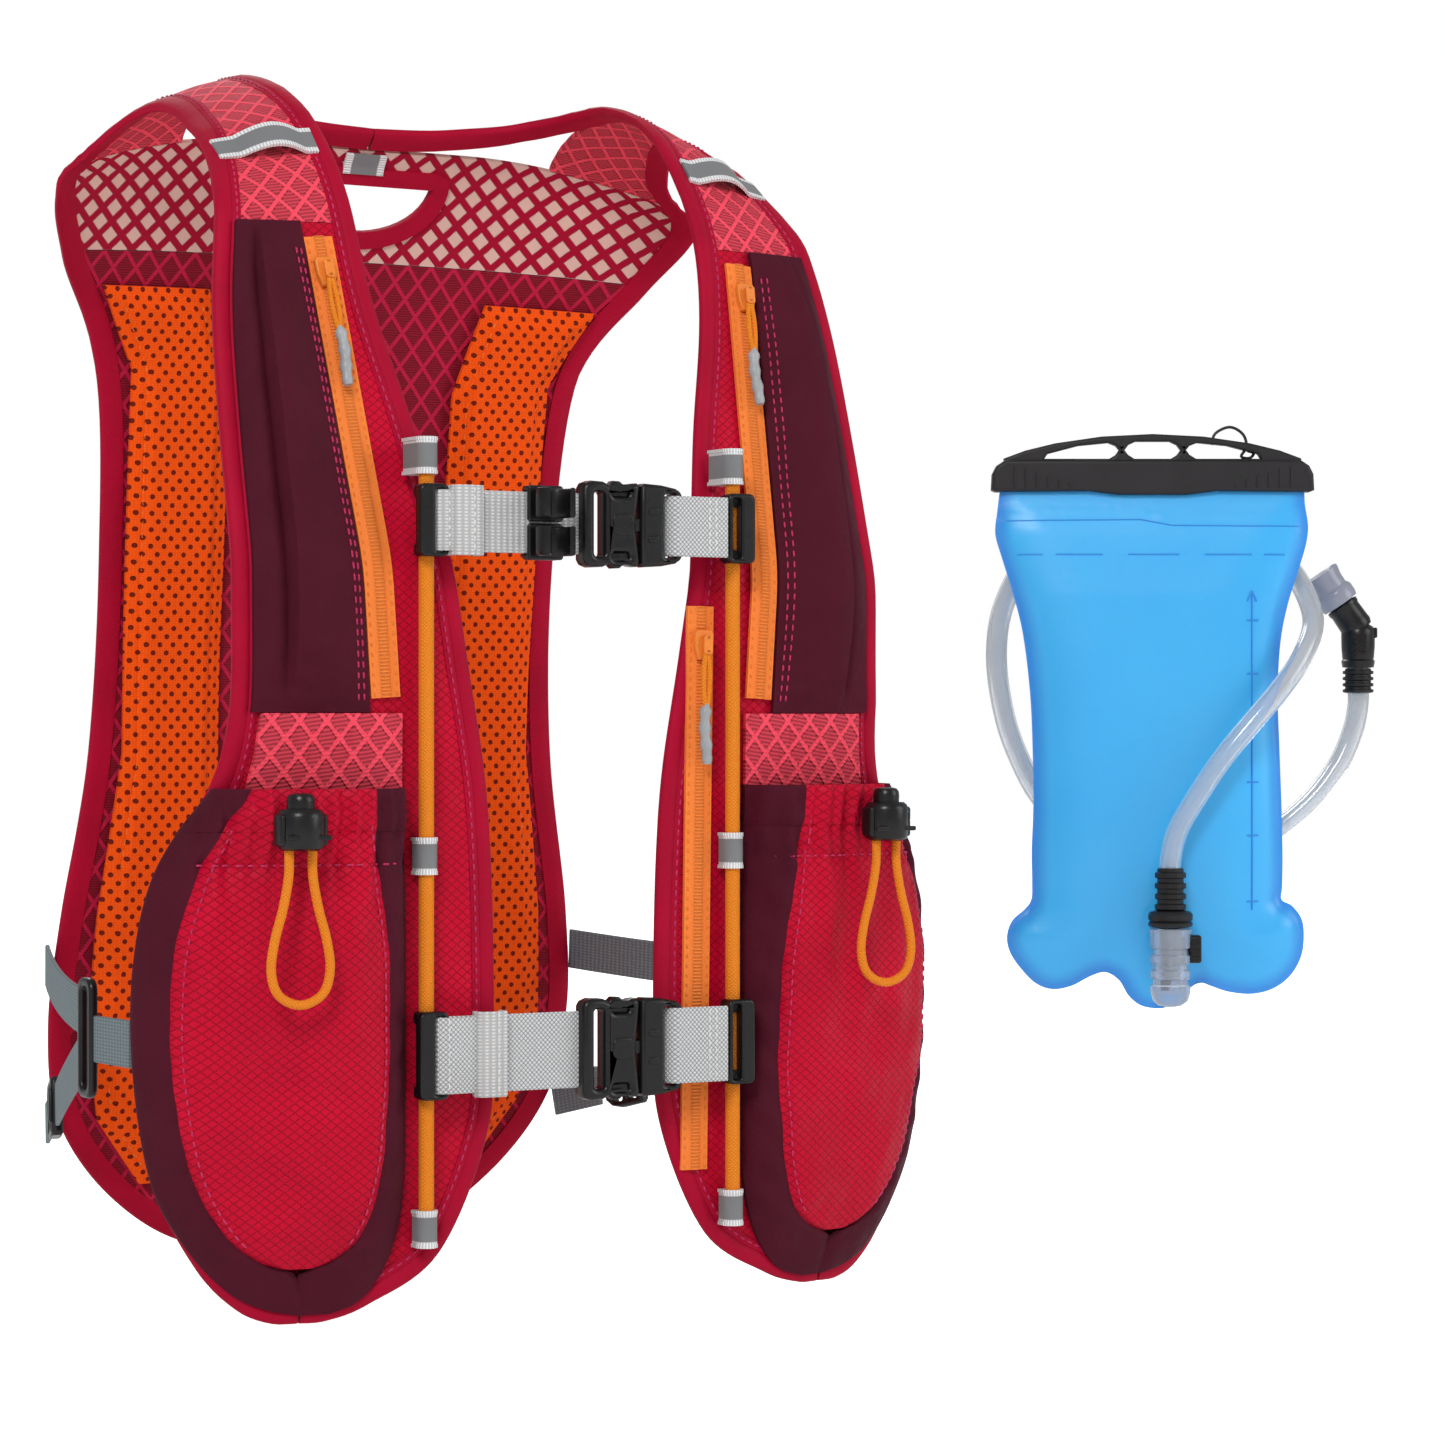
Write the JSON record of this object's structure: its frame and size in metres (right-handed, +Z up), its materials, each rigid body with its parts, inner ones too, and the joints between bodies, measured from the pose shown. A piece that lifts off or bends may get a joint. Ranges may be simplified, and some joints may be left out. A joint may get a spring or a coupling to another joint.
{
  "type": "hydration pack",
  "caption": "Running-vest hydration pack with zipped and open stretch pockets, two buckled chest straps on cord rails, and a slide-top reservoir with hose and bite valve.",
  "frame": {"origin": "middle of the top edge of the haul opening in the back yoke, where a hook holds the vest", "axes": "+Z up, the wearer faces -Y, the wearer's left is +X"},
  "size_m": [0.7562, 0.4426, 0.4247],
  "materials": {
    "ripstop": "fine ripstop weave",
    "back_mesh": "open mesh",
    "yoke_net": "open net over sheer backing",
    "spacer": "perforated spacer foam",
    "shoulder_mesh": "ribbed mesh",
    "softshell": "soft shell cloth",
    "stretch_mesh": "stretch mesh",
    "zip_tape": "woven tape",
    "rail_cord": "braided cord",
    "reflective": "reflective tape",
    "binding": "stretch binding",
    "webbing_grey": "diamond weave webbing",
    "webbing_slate": "plain webbing",
    "black_plastic": "satin",
    "zip_metal": "satin paint",
    "bag_film": "glossy film",
    "bar_plastic": "fine texture",
    "clear_plastic": "clear",
    "hose_clear": "clear tube",
    "silicone": "soft clear silicone",
    "black_rubber": "ribbed"
  },
  "bodies": {
    "vest": {"back_panel": "back_mesh", "back_yoke": "yoke_net", "haul_tab": "reflective", "back_pads": "spacer", "reservoir_sleeve": "softshell", "front_panel_left": "ripstop", "front_panel_right": "ripstop", "shoulder_left": "shoulder_mesh", "shoulder_right": "shoulder_mesh", "chest_pocket_left": "softshell", "chest_pocket_right": "softshell", "stretch_bands": "stretch_mesh", "bottle_pocket_left": "ripstop", "bottle_pocket_right": "ripstop", "zip_tapes": "zip_tape", "rails": "rail_cord", "rail_tabs": "reflective", "hose_keepers": "reflective", "binding_inner": "binding", "binding_outer": "binding", "side_strap_left": "webbing_slate", "side_strap_right": "webbing_slate", "side_rings": "black_plastic", "cord_lock_left": "black_plastic", "cord_lock_right": "black_plastic", "lock_cords": "rail_cord"},
    "zip_left_slider": {"zip_slider_left": "zip_metal"},
    "zip_right_slider": {"zip_slider_right": "zip_metal"},
    "zip_lower_slider": {"zip_slider_lower": "zip_metal"},
    "pull_left": {"zip_pull_left": "rail_cord"},
    "pull_right": {"zip_pull_right": "rail_cord"},
    "pull_lower": {"zip_pull_lower": "rail_cord"},
    "sternum_strap": {"sternum_sliders": "black_plastic", "sternum_web": "webbing_grey", "sternum_socket": "black_plastic"},
    "sternum_half": {"sternum_plug": "black_plastic", "sternum_tail": "webbing_grey"},
    "sternum_top": {"sternum_prong_top": "black_plastic"},
    "sternum_bottom": {"sternum_prong_bottom": "black_plastic"},
    "clip": {"hose_clip": "black_plastic"},
    "lower_strap": {"lower_sliders": "black_plastic", "lower_web": "webbing_grey", "lower_socket": "black_plastic"},
    "lower_half": {"lower_plug": "black_plastic", "lower_tail": "webbing_grey"},
    "lower_top": {"lower_prong_top": "black_plastic"},
    "lower_bottom": {"lower_prong_bottom": "black_plastic"},
    "button_left": {"lock_button_left": "black_plastic"},
    "button_right": {"lock_button_right": "black_plastic"},
    "ladder_left": {"ladder_lock_left": "black_plastic"},
    "ladder_right": {"ladder_lock_right": "black_plastic"},
    "reservoir": {"reservoir_bag": "bag_film", "hose_port": "clear_plastic"},
    "bar": {"slide_bar": "bar_plastic"},
    "release": {"release_button": "black_plastic"},
    "hose_set": {"hose_plug": "black_plastic", "hose": "hose_clear", "hose_sleeves": "black_rubber"},
    "valve": {"elbow": "black_plastic", "bite_valve": "silicone"}
  },
  "joints": [
    {"name": "zip_left_slide", "type": "slide", "parent": "vest", "child": "zip_left_slider", "axis": [0.0648, 0.2724, 0.96], "range_m": [-0.095, 0]},
    {"name": "zip_right_slide", "type": "slide", "parent": "vest", "child": "zip_right_slider", "axis": [-0.0648, 0.2724, 0.96], "range_m": [-0.095, 0]},
    {"name": "zip_lower_slide", "type": "slide", "parent": "vest", "child": "zip_lower_slider", "axis": [0.0132, -0.0003, 0.9999], "range_m": [-0.17, 0]},
    {"name": "pull_left_swing", "type": "hinge", "parent": "zip_left_slider", "child": "pull_left", "pos_m": [0.07894, -0.15039, -0.05704], "axis": [-0.9977, 0, 0.0673], "range_deg": [0, 110]},
    {"name": "pull_right_swing", "type": "hinge", "parent": "zip_right_slider", "child": "pull_right", "pos_m": [-0.07894, -0.15039, -0.05704], "axis": [-0.9977, 0, -0.0673], "range_deg": [0, 110]},
    {"name": "pull_lower_swing", "type": "hinge", "parent": "zip_lower_slider", "child": "pull_lower", "pos_m": [0.04637, -0.17717, -0.1786], "axis": [-0.9999, 0, 0.0132], "range_deg": [0, 110]},
    {"name": "sternum_height", "type": "slide", "parent": "vest", "child": "sternum_strap", "axis": [0, 0, 1], "range_m": [-0.085, 0]},
    {"name": "sternum_unplug", "type": "slide", "parent": "sternum_strap", "child": "sternum_half", "axis": [1, 0, 0], "range_m": [0, 0.016]},
    {"name": "sternum_squeeze", "type": "hinge", "parent": "sternum_half", "child": "sternum_top", "pos_m": [0.0148, -0.1821, -0.1247], "axis": [0, -1, 0], "range_deg": [0, 8], "stiffness_Nm_per_rad": 0.05},
    {"name": "sternum_squeeze_low", "type": "hinge", "parent": "sternum_half", "child": "sternum_bottom", "pos_m": [0.0148, -0.1821, -0.1453], "axis": [0, 1, 0], "range_deg": [0, 8]},
    {"name": "clip_slide", "type": "slide", "parent": "sternum_strap", "child": "clip", "axis": [1, 0, 0], "range_m": [-0.016, 0.006]},
    {"name": "lower_height", "type": "slide", "parent": "vest", "child": "lower_strap", "axis": [0, 0, 1], "range_m": [-0.033, 0.04]},
    {"name": "lower_unplug", "type": "slide", "parent": "lower_strap", "child": "lower_half", "axis": [1, 0, 0], "range_m": [0, 0.016]},
    {"name": "lower_squeeze", "type": "hinge", "parent": "lower_half", "child": "lower_top", "pos_m": [0.0148, -0.1821, -0.2942], "axis": [0, -1, 0], "range_deg": [0, 8], "stiffness_Nm_per_rad": 0.05},
    {"name": "lower_squeeze_low", "type": "hinge", "parent": "lower_half", "child": "lower_bottom", "pos_m": [0.0148, -0.1821, -0.3198], "axis": [0, 1, 0], "range_deg": [0, 8]},
    {"name": "button_left_press", "type": "slide", "parent": "vest", "child": "button_left", "axis": [0, 0, -1], "range_m": [0, 0.004], "stiffness_N_per_m": 400},
    {"name": "button_right_press", "type": "slide", "parent": "vest", "child": "button_right", "axis": [0, 0, -1], "range_m": [0, 0.004], "stiffness_N_per_m": 400},
    {"name": "ladder_left_tilt", "type": "hinge", "parent": "vest", "child": "ladder_left", "pos_m": [0.11217, 0.01608, -0.33932], "axis": [-0.0629, 0.2149, 0.9746], "range_deg": [0, 40]},
    {"name": "ladder_right_tilt", "type": "hinge", "parent": "vest", "child": "ladder_right", "pos_m": [-0.11217, 0.01608, -0.33932], "axis": [-0.0629, -0.2149, -0.9746], "range_deg": [0, 40]},
    {"name": "reservoir_lift", "type": "slide", "parent": "vest", "child": "reservoir", "axis": [0, 0, 1], "range_m": [0, 0.2]},
    {"name": "bar_slide", "type": "slide", "parent": "reservoir", "child": "bar", "axis": [0.866, -0.5, 0], "range_m": [0, 0.15]},
    {"name": "release_press", "type": "slide", "parent": "reservoir", "child": "release", "axis": [-0.866, 0.5, 0], "range_m": [0, 0.002], "stiffness_N_per_m": 600},
    {"name": "hose_unplug", "type": "slide", "parent": "reservoir", "child": "hose_set", "axis": [0, 0, 1], "range_m": [0, 0.024]},
    {"name": "valve_swivel", "type": "hinge", "parent": "hose_set", "child": "valve", "pos_m": [0.59833, 0.15898, -0.173], "axis": [0, 0, 1], "range_deg": [-100, 100]}
  ],
  "couplings": [
    {"joint": "sternum_squeeze_low", "follows": "sternum_squeeze", "ratio": 1},
    {"joint": "lower_squeeze_low", "follows": "lower_squeeze", "ratio": 1}
  ]
}
